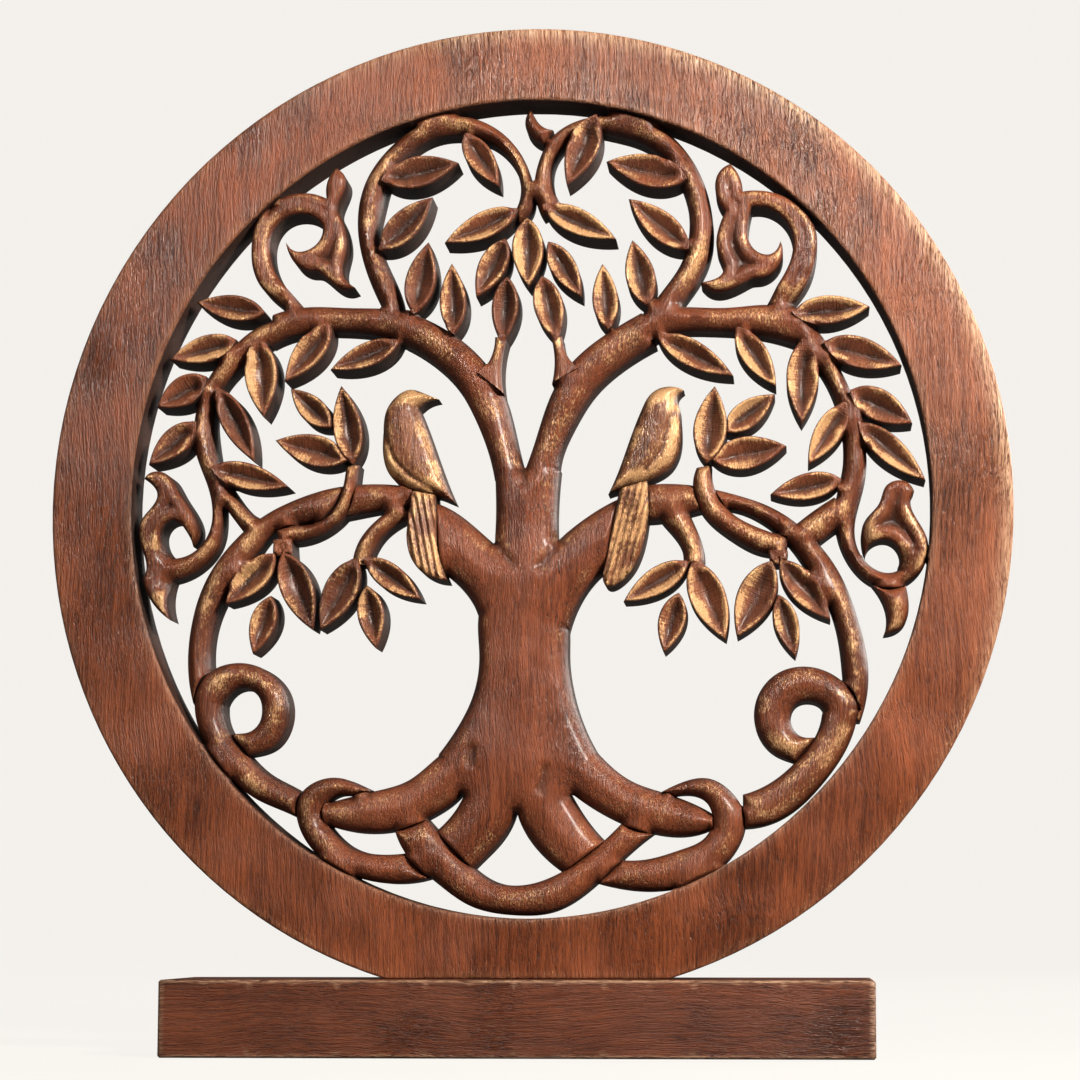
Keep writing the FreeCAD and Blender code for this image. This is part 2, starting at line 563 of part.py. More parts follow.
carve("right_upper_scroll", closed_outline(
    [(102.5, 294), (105.5, 298.5), (112, 307.5), (115.5, 319.5), (115, 329.5), (110, 337.5),
     (102, 343), (86, 345)],
    [(86, 345), (85, 350.5), (81, 356.5)],
    [(81, 356.5), (75.5, 351.5), (75, 345), (79, 337)],
    [(79, 337), (76, 329.5), (75.5, 321.5), (78, 315), (69, 308)],
    [(69, 308), (75.5, 304), (83.5, 306), (90, 309.5)],
    [(90, 309.5), (97, 311), (101.5, 317), (101, 324.5)],
    [(101, 324.5), (95, 319), (89.5, 322.5), (88, 329.5), (89.5, 338.5)],
    [(89.5, 338.5), (98, 337), (104, 331), (106, 321.5), (103.5, 313), (96, 301), (93, 295.5)],
    [(93, 295.5), (102.5, 294)]))
carve("left_side_scroll", closed_outline(
    [(-156, 230.5), (-152.5, 233.5), (-147, 232.5), (-142, 225.5), (-136.5, 217), (-134, 209.5),
     (-137, 203.5)],
    [(-137, 203.5), (-139.5, 210.5), (-143.5, 213.5), (-148, 211), (-149, 205.5), (-144.5, 199)],
    [(-144.5, 199), (-144.5, 189.5)],
    [(-144.5, 189.5), (-146, 181.5), (-144.5, 173)],
    [(-144.5, 173), (-152.5, 181), (-156, 189.5)],
    [(-156, 189.5), (-154.5, 195), (-157, 203.5), (-157, 213.5), (-151, 221.5), (-156, 230.5)]))
carve("right_side_scroll", closed_outline(
    [(153.5, 222.5), (148.5, 227), (142.5, 225), (139.5, 217.5), (134, 211.5), (132.5, 203.5),
     (134, 197)],
    [(134, 197), (137, 202), (143, 203), (147, 199.5), (147, 193)],
    [(147, 193), (149, 185.5)],
    [(149, 185.5), (155.5, 190.5), (159, 199), (157, 207), (152, 217), (153.5, 222.5)]))
carve("right_scroll_bud", closed_outline(
    [(131.5, 191), (138, 184), (142, 175.5), (141, 165.5)],
    [(141, 165.5), (150, 171), (151, 179.5), (149, 189)],
    [(149, 189), (131.5, 191)]))

# ---------------------------------------------------------------- check and write
doc.recompute()
faulty = [item.Name for item in doc.Objects
          if "Invalid" in item.State or "Error" in item.State]
if faulty:
    raise RuntimeError("objects that did not compute: " + ", ".join(faulty))
for name, finished in SUB_PARTS:
    if finished.Shape.isNull() or not finished.Shape.isValid() or not finished.Shape.Solids:
        raise RuntimeError(name + " has no valid solid")
for name, finished in SUB_PARTS:
    finished.Shape.exportStep("parts/%s.step" % name)
print(len(SUB_PARTS), "sub-parts written")
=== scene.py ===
import bpy
import bmesh
import math
import numpy as np
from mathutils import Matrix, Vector, noise
from mathutils.geometry import delaunay_2d_cdt


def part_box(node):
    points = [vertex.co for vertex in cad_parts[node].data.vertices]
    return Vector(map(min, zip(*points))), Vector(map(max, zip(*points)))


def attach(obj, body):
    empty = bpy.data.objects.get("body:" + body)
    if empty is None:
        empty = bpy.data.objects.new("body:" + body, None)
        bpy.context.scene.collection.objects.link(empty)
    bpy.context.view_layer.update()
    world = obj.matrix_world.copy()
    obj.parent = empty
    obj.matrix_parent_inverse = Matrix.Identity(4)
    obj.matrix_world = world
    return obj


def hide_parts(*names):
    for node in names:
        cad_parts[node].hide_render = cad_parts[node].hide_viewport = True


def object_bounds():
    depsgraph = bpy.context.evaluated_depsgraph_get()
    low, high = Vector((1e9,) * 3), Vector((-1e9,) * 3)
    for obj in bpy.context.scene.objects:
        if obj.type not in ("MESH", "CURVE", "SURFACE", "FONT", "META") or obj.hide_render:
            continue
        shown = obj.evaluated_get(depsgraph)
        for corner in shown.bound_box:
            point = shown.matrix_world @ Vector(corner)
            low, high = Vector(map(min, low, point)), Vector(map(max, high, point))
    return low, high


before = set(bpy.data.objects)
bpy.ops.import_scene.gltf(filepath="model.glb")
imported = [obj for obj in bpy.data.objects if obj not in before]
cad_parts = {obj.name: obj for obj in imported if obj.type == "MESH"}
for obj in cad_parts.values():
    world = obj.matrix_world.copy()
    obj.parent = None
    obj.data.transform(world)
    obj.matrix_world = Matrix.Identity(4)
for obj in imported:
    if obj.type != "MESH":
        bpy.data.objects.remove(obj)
cad_low, cad_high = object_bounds()
bpy.ops.object.select_all(action="DESELECT")

# ------------------------------------------------------------------ round frame
# The rim of one hardwood board, bandsawn to a near-round oval with a flat at its foot,
# its grain upright. Its face is planed, its arrises are eased by hand and worn, and it
# is stained reddish brown. All the carving inside it is cut from the same board.
MM = 0.001


def front_loops(node):
    """Outlines of a node's front face as (x, z) loops in mm, wood on the left."""
    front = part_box(node)[0].y
    board = bmesh.new()
    board.from_mesh(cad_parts[node].data)
    bmesh.ops.remove_doubles(board, verts=board.verts, dist=1e-6)
    behind = [f for f in board.faces if any(v.co.y > front + 1e-5 for v in f.verts)]
    bmesh.ops.delete(board, geom=behind, context="FACES")
    rest = {loop for face in board.faces for loop in face.loops if loop.edge.is_boundary}
    loops = []
    for first in sorted(rest, key=lambda loop: (loop.vert.co.x, loop.vert.co.z, loop.index)):
        if first not in rest:
            continue
        outline = []
        step = first
        while step in rest:
            rest.discard(step)
            outline.append((step.vert.co.x / MM, step.vert.co.z / MM))
            step = step.link_loop_next
            while not step.edge.is_boundary:
                step = step.link_loop_radial_next.link_loop_next
        loops.append(np.array(outline))
    board.free()
    return loops


SHARP = math.radians(38)            # a turn that stays a corner


def evenly_spaced(loop, spacing):
    """The outline again with even steps between its sharp corners, its curves smoothed."""
    ahead = np.roll(loop, -1, 0) - loop
    heading = np.arctan2(ahead[:, 1], ahead[:, 0])
    turn = np.abs(np.angle(np.exp(1j * (heading - np.roll(heading, 1)))))
    corners = np.flatnonzero(turn > SHARP)
    if len(corners) == 0:
        corners = np.array([0])
    points, fixed = [], []
    for k, start in enumerate(corners):
        end = corners[(k + 1) % len(corners)]
        if end <= start:
            end += len(loop)
        run = loop[np.arange(start, end + 1) % len(loop)]
        along = np.concatenate([[0], np.cumsum(np.hypot(*np.diff(run, axis=0).T))])
        count = max(1, round(along[-1] / spacing))
        at = np.linspace(0, along[-1], count + 1)[:-1]
        points.append(np.stack([np.interp(at, along, run[:, 0]),
                                np.interp(at, along, run[:, 1])], 1))
        fixed += [True] + [False] * (count - 1)
    points, fixed = np.concatenate(points), np.array(fixed)
    for _ in range(3):
        eased = points / 2 + (np.roll(points, 1, 0) + np.roll(points, -1, 0)) / 4
        points = np.where(fixed[:, None], points, eased)
    return points


def segments(loops):
    """Start and end points of every edge of the loops."""
    return (np.concatenate(loops), np.concatenate([np.roll(p, -1, 0) for p in loops]))


def inside(points, loops):
    """Which points lie in the wood between the loops."""
    start, end = segments(loops)
    crossed = np.zeros(len(points), int)
    for a, b in zip(start, end):
        spans = (points[:, 1] < a[1]) != (points[:, 1] < b[1])
        if spans.any():
            x = a[0] + (points[:, 1] - a[1]) * (b[0] - a[0]) / (b[1] - a[1] + 1e-12)
            crossed += spans & (points[:, 0] < x)
    return crossed % 2 == 1


def reach(points, start, end):
    """Distance of each point to the nearest of the segments, in mm."""
    if len(start) == 0:
        return np.full(len(points), 1e3)
    span = end - start
    length = np.maximum((span ** 2).sum(1), 1e-9)
    found = np.empty(len(points))
    for k in range(0, len(points), 1500):
        away = points[k:k + 1500, None] - start
        t = np.clip((away * span).sum(2) / length, 0, 1)
        found[k:k + 1500] = np.sqrt((((away - t[..., None] * span) ** 2).sum(2)).min(1))
    return found


def eased(distance, width):
    """Quarter-round drop towards an edge: 1 at the edge, 0 from width inwards."""
    across = np.clip(1 - distance / width, 0, 1)
    return 1 - np.sqrt(1 - across ** 2)


def ramp(value, low, high):
    """Smooth step from 0 at low to 1 at high."""
    t = np.clip((value - low) / (high - low), 0, 1)
    return t * t * (3 - 2 * t)


def fading(value, near, far):
    """Smooth step from 1 at near to 0 at far."""
    return ramp(-value, -far, -near)


def uneven(points, size, seed):
    """Gentle hand-made unevenness between -1 and 1, size in mm."""
    return np.array([noise.noise((x / size, z / size, seed)) for x, z in points])


def drawn_onto(points, start, end, gap):
    """The points, those within gap of the segments moved onto them."""
    span = end - start
    away = points[:, None] - start
    t = np.clip((away * span).sum(2) / np.maximum((span ** 2).sum(1), 1e-9), 0, 1)
    on = start + t[..., None] * span
    far = np.hypot(*(points[:, None] - on).transpose(2, 0, 1))
    best = far.argmin(1)
    near = far[np.arange(len(points)), best] < gap
    return np.where(near[:, None], on[np.arange(len(points)), best], points)


STEP, SNAP, SHORTEST = 0.8, 0.5, 0.02       # mm along an outline
CARVED = []                 # names of the nodes carved so far; they stand in front
OUTLINES = {}               # where two nodes touch, they share one line
for name in sorted(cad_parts):
    if name in ("base_board", "base_screws"):
        continue
    loops = [evenly_spaced(loop, STEP) for loop in front_loops(name)]
    low, high = np.concatenate(loops).min(0) - 1, np.concatenate(loops).max(0) + 1
    drawn = [loop for other in OUTLINES.values() for loop in other
             if (loop.max(0) > low).all() and (loop.min(0) < high).all()]
    for near in drawn:
        loops = [drawn_onto(loop, *segments([near]), SNAP) for loop in loops]
    OUTLINES[name] = [loop[np.hypot(*(loop - np.roll(loop, 1, 0)).T) > SHORTEST]
                      for loop in loops]
STEMS = [name for name in OUTLINES
         if not name.endswith("_leaves") and "bird" not in name and name != "ring_frame"]


def just_outside(loop, away):
    """The middle of every edge of a loop, moved away mm out of the wood."""
    ahead = np.roll(loop, -1, 0)
    step = ahead - loop
    step /= np.maximum(np.hypot(*step.T), 1e-9)[:, None]
    return (loop + ahead) / 2 + away * np.stack([step[:, 1], -step[:, 0]], 1)


TOUCHING, NEAR, GAP = 0.4, 1.1, 4           # mm outside an edge, and edges in a row


def edges_of(group, grown=(), cut_below=-1.0):
    """Free edges of nodes that run together, and edges that pass under earlier carving.
    What has grown onto them leaves no edge. Below the height cut_below, in mm, a node
    passes under those named before it in the group and doesn't run into them."""
    free, under = [], []
    for place, name in enumerate(group):
        for loop in OUTLINES[name]:
            beside, further = just_outside(loop, TOUCHING), just_outside(loop, NEAR)
            joined = np.zeros(len(loop), bool)
            below = np.zeros(len(loop), bool)
            for other, shape in OUTLINES.items():
                if other == name or not (other in group or other in CARVED or other in grown):
                    continue
                hit = inside(beside, shape)
                if other in group:
                    hit |= inside(further, shape)
                    joined |= hit & (beside[:, 1] >= cut_below)
                    below |= hit & (beside[:, 1] < cut_below) & (group.index(other) < place)
                elif other in grown:
                    joined |= hit
                else:
                    below |= hit
            shifts = range(-GAP, GAP + 1)
            met = np.logical_or.reduce([np.roll(joined, k) for k in shifts])
            joined = np.logical_and.reduce([np.roll(met, k) for k in shifts]) & ~below
            edges = np.hstack([loop, np.roll(loop, -1, 0)])
            free.append(edges[~joined & ~below])
            under.append(edges[below & ~joined])
    free, under = np.concatenate(free), np.concatenate(under)
    return (free[:, :2], free[:, 2:]), (under[:, :2], under[:, 2:])


CLOSEST = 0.22                      # mm between two points of a carved face
SHOULDER, ARRIS = 0.5, 0.4          # mm of wall under the face and before the back


def cut_relief(name, loops, insets, spacing, lowered):
    """One closed solid from the outline, its front lowered by lowered(points), in mm.
    Rows of points follow the edge at each inset, and a grid fills the rest. Each point
    is marked proud, hollow, wall, along a gouge, across it, and worn, in that order.
    The hollow and wall marks carry painted shade, and on the rim the worn mark also
    carries painted light towards the upper right."""
    low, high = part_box(name)
    front, back = low.y / MM, high.y / MM
    start, end = segments(loops)
    rows = []
    for loop in loops:
        step = np.roll(loop, -1, 0) - np.roll(loop, 1, 0)
        step /= np.maximum(np.hypot(*step.T), 1e-9)[:, None]
        inward = np.stack([-step[:, 1], step[:, 0]], 1)
        for inset in insets:
            row = loop + inward * inset
            rows.append(row[reach(row, start, end) > inset * 0.93])
    left, bottom = start.min(0)
    right, top = start.max(0)
    height = spacing * math.sqrt(3) / 2
    grid = np.array([(x + (k % 2) * spacing / 2, bottom + k * height)
                     for k in range(int((top - bottom) / height) + 1)
                     for x in np.arange(left, right, spacing)])
    if len(grid):
        rows.append(grid[reach(grid, start, end) > insets[-1] + spacing * 0.6])
    rows = np.concatenate(rows)
    rows = rows[inside(rows, loops)]
    tidy, seen = [], set()
    for x, z in rows:
        cell = (round(x / CLOSEST), round(z / CLOSEST))
        if cell not in seen:
            seen.add(cell)
            tidy.append((x, z))
    rim = np.concatenate(loops)
    points = np.concatenate([rim, np.array(tidy).reshape(-1, 2)])
    outline, first = [], 0
    for loop in loops:
        outline += [(first + k, first + (k + 1) % len(loop)) for k in range(len(loop))]
        first += len(loop)

    def filled(corners):
        found, _, faces, origin, _, _ = delaunay_2d_cdt(
            [Vector(p) for p in corners], outline, [], 0, 1e-5)
        found = np.array([tuple(p) for p in found])
        faces = np.array(faces)
        kept = inside(found[faces].mean(1), loops)
        own = [names[0] if names else -1 for names in origin]
        faces = np.array([[own[c] for c in face] for face in faces[kept]])
        faces = faces[(faces >= 0).all(1)]
        a, b, c = (corners[faces[:, k]] for k in range(3))
        area = (b - a)[:, 0] * (c - a)[:, 1] - (b - a)[:, 1] * (c - a)[:, 0]
        faces[area < 0] = faces[area < 0][:, ::-1]
        return faces

    face = filled(points)
    depth = lowered(points)
    count, edge = len(points), len(rim)
    verts = [(x, front + d, z) for (x, z), d in zip(points, depth)]
    verts += [(x, min(front + d + SHOULDER, back - 1), z) for (x, z), d in zip(rim, depth)]
    verts += [(x, back - ARRIS, z) for x, z in rim]
    verts += [(x, back, z) for x, z in rim]
    faces = [tuple(f) for f in face]
    for a, b in outline:
        for upper, lower in ((0, count), (count, count + edge),
                             (count + edge, count + 2 * edge)):
            faces.append((upper + a, lower + a, lower + b, upper + b))
    faces += [tuple(count + 2 * edge + c for c in f[::-1]) for f in filled(rim)]
    pairs = np.unique(np.sort(np.concatenate([face[:, :2], face[:, 1:], face[:, ::2]]), 1),
                      axis=0)
    links = np.bincount(pairs.ravel(), minlength=count) + 1

    def spread(values, rounds):
        for _ in range(rounds):
            total = values.copy()
            np.add.at(total, pairs[:, 0], values[pairs[:, 1]])
            np.add.at(total, pairs[:, 1], values[pairs[:, 0]])
            values = (total.T / links).T
        return values

    proud = spread(depth, 8) - depth
    marks = np.zeros((len(verts), 6))
    marks[:count, 0] = ramp(proud, 0.1, 0.7)
    # hollows: where the face lies below its surroundings, later darkened as painted shade
    marks[:count, 1] = ramp(-proud, 0.1, 0.8)
    marks[:count] = spread(marks[:count], 2)
    # walls, marked to be painted near-black as painted shade
    marks[count:count + 2 * edge, 2] = 1
    return np.array(verts) * MM, faces, marks, points


def placed(mesh, marks, smooth, material, real):
    """An object from a mesh and its marks, riding on the body in place of a CAD node."""
    for label, columns in (("carving", marks[:, :3]), ("gouge", marks[:, 3:])):
        layer = mesh.attributes.new(label, "FLOAT_VECTOR", "POINT")
        layer.data.foreach_set("vector", np.ascontiguousarray(columns, np.float32).ravel())
    mesh.materials.append(material)
    made = bpy.data.objects.new(mesh.name, mesh)
    bpy.context.scene.collection.objects.link(made)
    bpy.ops.object.select_all(action="DESELECT")
    made.select_set(True)
    bpy.context.view_layer.objects.active = made
    bpy.ops.object.shade_smooth_by_angle(angle=math.radians(smooth))
    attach(made, "root")
    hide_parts(real)


def piece(solids, material, real):
    """One piece out of the carved solids of a CAD node."""
    mesh = bpy.data.meshes.new(real + "_carved")
    verts, faces, marks, first = [], [], [], 0
    for points, sides, paint in solids:
        verts.append(points)
        marks.append(paint)
        faces += [tuple(first + c for c in side) for side in sides]
        first += len(points)
    mesh.from_pydata(np.concatenate(verts).tolist(), [], faces)
    placed(mesh, np.concatenate(marks), 50, material, real)


def socket_group(name, inputs, outputs):
    """An empty shader node group with named sockets."""
    group = bpy.data.node_groups.new(name, "ShaderNodeTree")
    for label, kind, value in inputs:
        socket = group.interface.new_socket(label, in_out="INPUT", socket_type=kind)
        socket.default_value = value
    for label, kind in outputs:
        group.interface.new_socket(label, in_out="OUTPUT", socket_type=kind)
    return group


def node(tree, kind, inputs=None, **settings):
    """A shader node with its settings, and its inputs set or linked."""
    made = tree.nodes.new(kind)
    for key, value in settings.items():
        setattr(made, key, value)
    for key, value in (inputs or {}).items():
        if isinstance(value, bpy.types.NodeSocket):
            tree.links.new(value, made.inputs[key])
        else:
            made.inputs[key].default_value = value
    return made


def worked(tree, operation, *values):
    """The output of one Math node."""
    return node(tree, "ShaderNodeMath", dict(enumerate(values)), operation=operation).outputs[0]


def between(tree, value, low, high, to_low=0.0, to_high=1.0):
    """Smooth Map Range from low..high."""
    return node(tree, "ShaderNodeMapRange", {
        "Value": value, "From Min": low, "From Max": high, "To Min": to_low,
        "To Max": to_high}, interpolation_type="SMOOTHSTEP").outputs[0]


def blend_colour(tree, factor, a, b):
    """The colour between a and b, from a Mix node."""
    made = node(tree, "ShaderNodeMix", data_type="RGBA")
    for socket, value in ((made.inputs[0], factor), (made.inputs[6], a), (made.inputs[7], b)):
        if isinstance(value, bpy.types.NodeSocket):
            tree.links.new(value, socket)
        else:
            socket.default_value = value
    return made.outputs[2]


# Hardwood grain along Z, or along X when turned: broad bands, fibres, open pores.
grain = socket_group("stained_grain", [
    ("Turn", "NodeSocketVector", (0, 0, 0)),
    ("Dark", "NodeSocketColor", (0.075, 0.022, 0.012, 1)),
    ("Light", "NodeSocketColor", (0.3, 0.105, 0.055, 1)),
    ("Pores", "NodeSocketFloat", 1.0)],
    [("Colour", "NodeSocketColor"), ("Height", "NodeSocketFloat"),
     ("Roughness", "NodeSocketFloat")])
entry = node(grain, "NodeGroupInput")
place = node(grain, "ShaderNodeTexCoord").outputs["Object"]
turned = node(grain, "ShaderNodeMapping", {
    "Vector": place, "Rotation": entry.outputs["Turn"]}).outputs[0]
wander = node(grain, "ShaderNodeTexNoise", {"Vector": turned, "Scale": 14.0, "Detail": 2.0})
wander = node(grain, "ShaderNodeVectorMath", {
    0: wander.outputs["Color"], 1: (0.012, 0.012, 0.0)}, operation="MULTIPLY").outputs[0]
flow = node(grain, "ShaderNodeVectorMath", {0: turned, 1: wander}, operation="ADD").outputs[0]


def along_grain(stretch, scale, detail, rough=0.6):
    """Noise drawn out along the grain."""
    stretched = node(grain, "ShaderNodeMapping", {"Vector": flow, "Scale": (1, 1, stretch)})
    return node(grain, "ShaderNodeTexNoise", {
        "Vector": stretched.outputs[0], "Scale": scale, "Detail": detail,
        "Roughness": rough}).outputs["Fac"]


bands = between(grain, along_grain(0.1, 55.0, 4.0), 0.36, 0.66)
fibres = between(grain, along_grain(0.04, 900.0, 4.0, 0.7), 0.36, 0.64)
pores = between(grain, along_grain(0.08, 2500.0, 1.0), 0.54, 0.68)
fine = between(grain, along_grain(0.08, 3200.0, 1.0), 0.35, 0.65)
cloudy = between(grain, node(grain, "ShaderNodeTexNoise", {
    "Vector": place, "Scale": 30.0, "Detail": 5.0}).outputs["Fac"], 0.36, 0.66)
tone = worked(grain, "MULTIPLY_ADD", bands, 0.28, worked(grain, "MULTIPLY_ADD", fibres, 0.36,
              worked(grain, "MULTIPLY_ADD", cloudy, 0.26, worked(grain, "MULTIPLY", fine, 0.12))))
stain = blend_colour(grain, tone, entry.outputs["Dark"], entry.outputs["Light"])
open_pores = worked(grain, "MULTIPLY", pores, entry.outputs["Pores"])
open_pores = worked(grain, "MULTIPLY", open_pores,
                    between(grain, cloudy, 0.0, 1.0, 0.95, 0.45))
stain = blend_colour(grain, worked(grain, "MULTIPLY", open_pores, 0.7), stain,
                     (0.02, 0.006, 0.003, 1))
raised = worked(grain, "MULTIPLY_ADD", fibres, 0.6, worked(grain, "MULTIPLY", fine, 0.4))
raised = worked(grain, "SUBTRACT", raised, open_pores)
dull = worked(grain, "MULTIPLY_ADD", open_pores, 0.2,
              worked(grain, "MULTIPLY_ADD", cloudy, 0.14, 0.27))
node(grain, "NodeGroupOutput", {"Colour": stain, "Height": raised, "Roughness": dull})

# Gold rubbed on by hand: it takes on proud edges, in specks and streaks.
rub = socket_group("gold_rub", [
    ("Proud", "NodeSocketFloat", 0.0), ("Amount", "NodeSocketFloat", 0.5)],
    [("Mask", "NodeSocketFloat"), ("Colour", "NodeSocketColor")])
entry = node(rub, "NodeGroupInput")
place = node(rub, "ShaderNodeTexCoord").outputs["Object"]
streak = node(rub, "ShaderNodeMapping", {"Vector": place, "Scale": (1, 1, 0.35)}).outputs[0]
specks = node(rub, "ShaderNodeTexNoise", {
    "Vector": streak, "Scale": 1700.0, "Detail": 3.0, "Roughness": 0.7}).outputs["Fac"]
patches = node(rub, "ShaderNodeTexNoise", {
    "Vector": place, "Scale": 75.0, "Detail": 3.0}).outputs["Fac"]
held = worked(rub, "MULTIPLY", entry.outputs["Proud"], entry.outputs["Amount"])
held = worked(rub, "MULTIPLY", held, between(rub, patches, 0.34, 0.62, 0.3, 1.25))
mask = between(rub, worked(rub, "MULTIPLY_ADD", specks, 1.7, held), 1.12, 1.7)
gold = blend_colour(rub, specks, (0.34, 0.14, 0.05, 1), (0.92, 0.56, 0.27, 1))
node(rub, "NodeGroupOutput", {"Mask": mask, "Colour": gold})


def carved_wood(name, dark, light, gold_amount, pores=1.0, gloss=0.2, turn=(0, 0, 0)):
    """Stained and waxed hardwood: painted shade in the recesses and on the walls, worn arrises,
    gold on high edges.
    """
    made = bpy.data.materials.new(name)
    made.use_nodes = True
    tree = made.node_tree
    tree.nodes.clear()
    wood = node(tree, "ShaderNodeGroup", node_tree=grain)
    wood.inputs["Turn"].default_value = turn
    wood.inputs["Dark"].default_value = dark
    wood.inputs["Light"].default_value = light
    wood.inputs["Pores"].default_value = pores
    paint = node(tree, "ShaderNodeAttribute", attribute_name="carving")
    paint = node(tree, "ShaderNodeSeparateXYZ", {0: paint.outputs["Vector"]}).outputs
    gouge = node(tree, "ShaderNodeAttribute", attribute_name="gouge")
    wear = node(tree, "ShaderNodeSeparateXYZ", {0: gouge.outputs["Vector"]}).outputs["Z"]
    cuts = node(tree, "ShaderNodeMapping", {"Vector": gouge.outputs["Vector"],
                                            "Scale": (1.5, 0.12, 0.0)})
    cuts = node(tree, "ShaderNodeTexNoise", {"Vector": cuts.outputs[0], "Scale": 1.0,
                                             "Detail": 2.0}).outputs["Fac"]
    cuts = between(tree, cuts, 0.36, 0.64)
    rubbed = node(tree, "ShaderNodeGroup", node_tree=rub)
    proud = worked(tree, "MULTIPLY", paint["X"], worked(tree, "MULTIPLY_ADD", cuts, 0.5, 0.75))
    tree.links.new(proud, rubbed.inputs["Proud"])
    rubbed.inputs["Amount"].default_value = gold_amount
    # painted shade: the hollows turn near-black
    painted_recess_shade = worked(tree, "MULTIPLY", paint["Y"], 0.95)
    # pale wear on arrises; on the rim this mask also holds painted light towards the upper right
    colour = blend_colour(tree, worked(tree, "MULTIPLY", wear, wood.outputs["Height"]),
                          wood.outputs["Colour"], (0.62, 0.4, 0.25, 1))
    # near-black in the hollows: painted shade
    colour = blend_colour(tree, painted_recess_shade, colour, (0.01, 0.005, 0.0035, 1))
    # near-black walls: painted shade
    colour = blend_colour(tree, worked(tree, "MULTIPLY", paint["Z"], 0.85), colour,
                          (0.014, 0.007, 0.005, 1))
    colour = blend_colour(tree, rubbed.outputs["Mask"], colour, rubbed.outputs["Colour"])
    height = worked(tree, "MULTIPLY_ADD", cuts, 0.6, wood.outputs["Height"])
    bump = node(tree, "ShaderNodeBump", {
        "Height": height, "Strength": 0.7, "Distance": 0.00035})
    satin = worked(tree, "MULTIPLY_ADD", paint["Z"], 0.25, wood.outputs["Roughness"])
    shine = worked(tree, "MULTIPLY", rubbed.outputs["Mask"], 0.3)
    shader = node(tree, "ShaderNodeBsdfPrincipled", {
        "Base Color": colour, "Roughness": satin, "Metallic": shine, "Specular IOR Level": 0.35,
        "Normal": bump.outputs["Normal"],
        "Coat Weight": gloss, "Coat Roughness": 0.24, "Coat IOR": 1.45})
    node(tree, "ShaderNodeOutputMaterial", {"Surface": shader.outputs[0]})
    return made


rim_edges = segments(OUTLINES["ring_frame"])


def planed_face(points):
    """The rim's face: nearly flat, its arrises eased unevenly by hand."""
    edge = reach(points, *rim_edges)
    width = 1.3 + 0.7 * uneven(points, 14, 1)
    return 0.9 * eased(edge, width) + 0.12 * (1 + uneven(points, 30, 2))


ring_wood = carved_wood("ring_wood", (0.042, 0.009, 0.0035, 1), (0.3, 0.076, 0.024, 1), 0.4,
                        pores=0.9, gloss=0.04)
verts, faces, marks, points = cut_relief("ring_frame", OUTLINES["ring_frame"],
                                         (0.3, 0.8, 1.5, 2.5, 4.0), 2.2, planed_face)

# Handling has worn the outer arris, most of all towards the upper right. The face is also painted
# a little paler towards the upper right, a painted highlight where the key light falls.
MIDDLE_OF_RIM, CORNER_REACH = 175, 270          # mm from the middle of the oval
edge = reach(points, *rim_edges)
centre = (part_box("ring_frame")[0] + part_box("ring_frame")[1]) / 2 / MM
aside, above = points[:, 0] - centre.x, points[:, 1] - centre.z
outer = np.hypot(aside, above) > MIDDLE_OF_RIM
wear_and_painted_light = ramp((aside + above) / CORNER_REACH, 0.1, 0.9)
worn = np.where(outer, 0.2 + 0.95 * wear_and_painted_light, 0.35) * eased(edge, 4.0) ** 0.5
# the last term is painted light: the whole face a little paler towards the upper right
worn += np.where(outer, 0.5 * wear_and_painted_light * fading(edge, 2, 9), 0) + 0.08 * wear_and_painted_light
count = len(points)
marks[:count, 5] = np.clip(worn, 0, 1)
marks[:count, 0] += 0.4 * outer * fading(edge, 1, 12)
marks[:count, 1] = np.where(outer, 0, marks[:count, 1])
piece([(verts, faces, marks)], ring_wood, "ring_frame")
CARVED.append("ring_frame")

# ------------------------------------------------------------------ birds
# Two perched birds, both looking right, carved in high relief from the same board: a
# domed body with a knife line along the wing, a folded tail of long ribs, and much gold.
bird_wood = carved_wood("bird_wood", (0.06, 0.016, 0.007, 1), (0.3, 0.1, 0.04, 1), 1.1,
                        pores=0.6)


def carve(name, material, insets, spacing, lowered, gilt=0.0):
    """Carves every solid of a node with one surface rule. Gilt, a number or a rule of
    its own, adds gold."""
    solids = []
    for loop in OUTLINES[name]:
        verts, faces, marks, points = cut_relief(name, [loop], insets, spacing, lowered)
        added = gilt(points) if callable(gilt) else gilt
        marks[:len(points), 0] = np.clip(marks[:len(points), 0] + added, 0, 1.2)
        solids.append((verts, faces, marks))
    piece(solids, material, name)


WING_LINES = {"left_bird": ((0.04, 0.63), (0.16, 0.38), (0.4, 0.22), (0.85, 0.05)),
              "right_bird": ((0.93, 0.93), (0.83, 0.68), (0.74, 0.42), (0.5, 0.2))}
for name, line in WING_LINES.items():
    low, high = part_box(name)
    knots = np.array([((low.x + u * (high.x - low.x)) / MM, (low.z + v * (high.z - low.z)) / MM)
                      for u, v in line])
    free, _ = edges_of([name])

    def breast(points):
        """A domed body with a knife cut along the wing."""
        edge = reach(points, *free)
        drop = 3.2 * eased(edge, 4) + 5.0 * eased(edge, 17)
        cut = np.clip(1 - reach(points, knots[:-1], knots[1:]) / 1.3, 0, 1)
        return drop - 0.6 + 1.0 * cut + 0.15 * (1 + uneven(points, 5, 3))

    carve(name, bird_wood, (0.2, 0.6, 1.2, 2.0, 2.9), 0.8, breast, 0.2)
    CARVED.append(name)

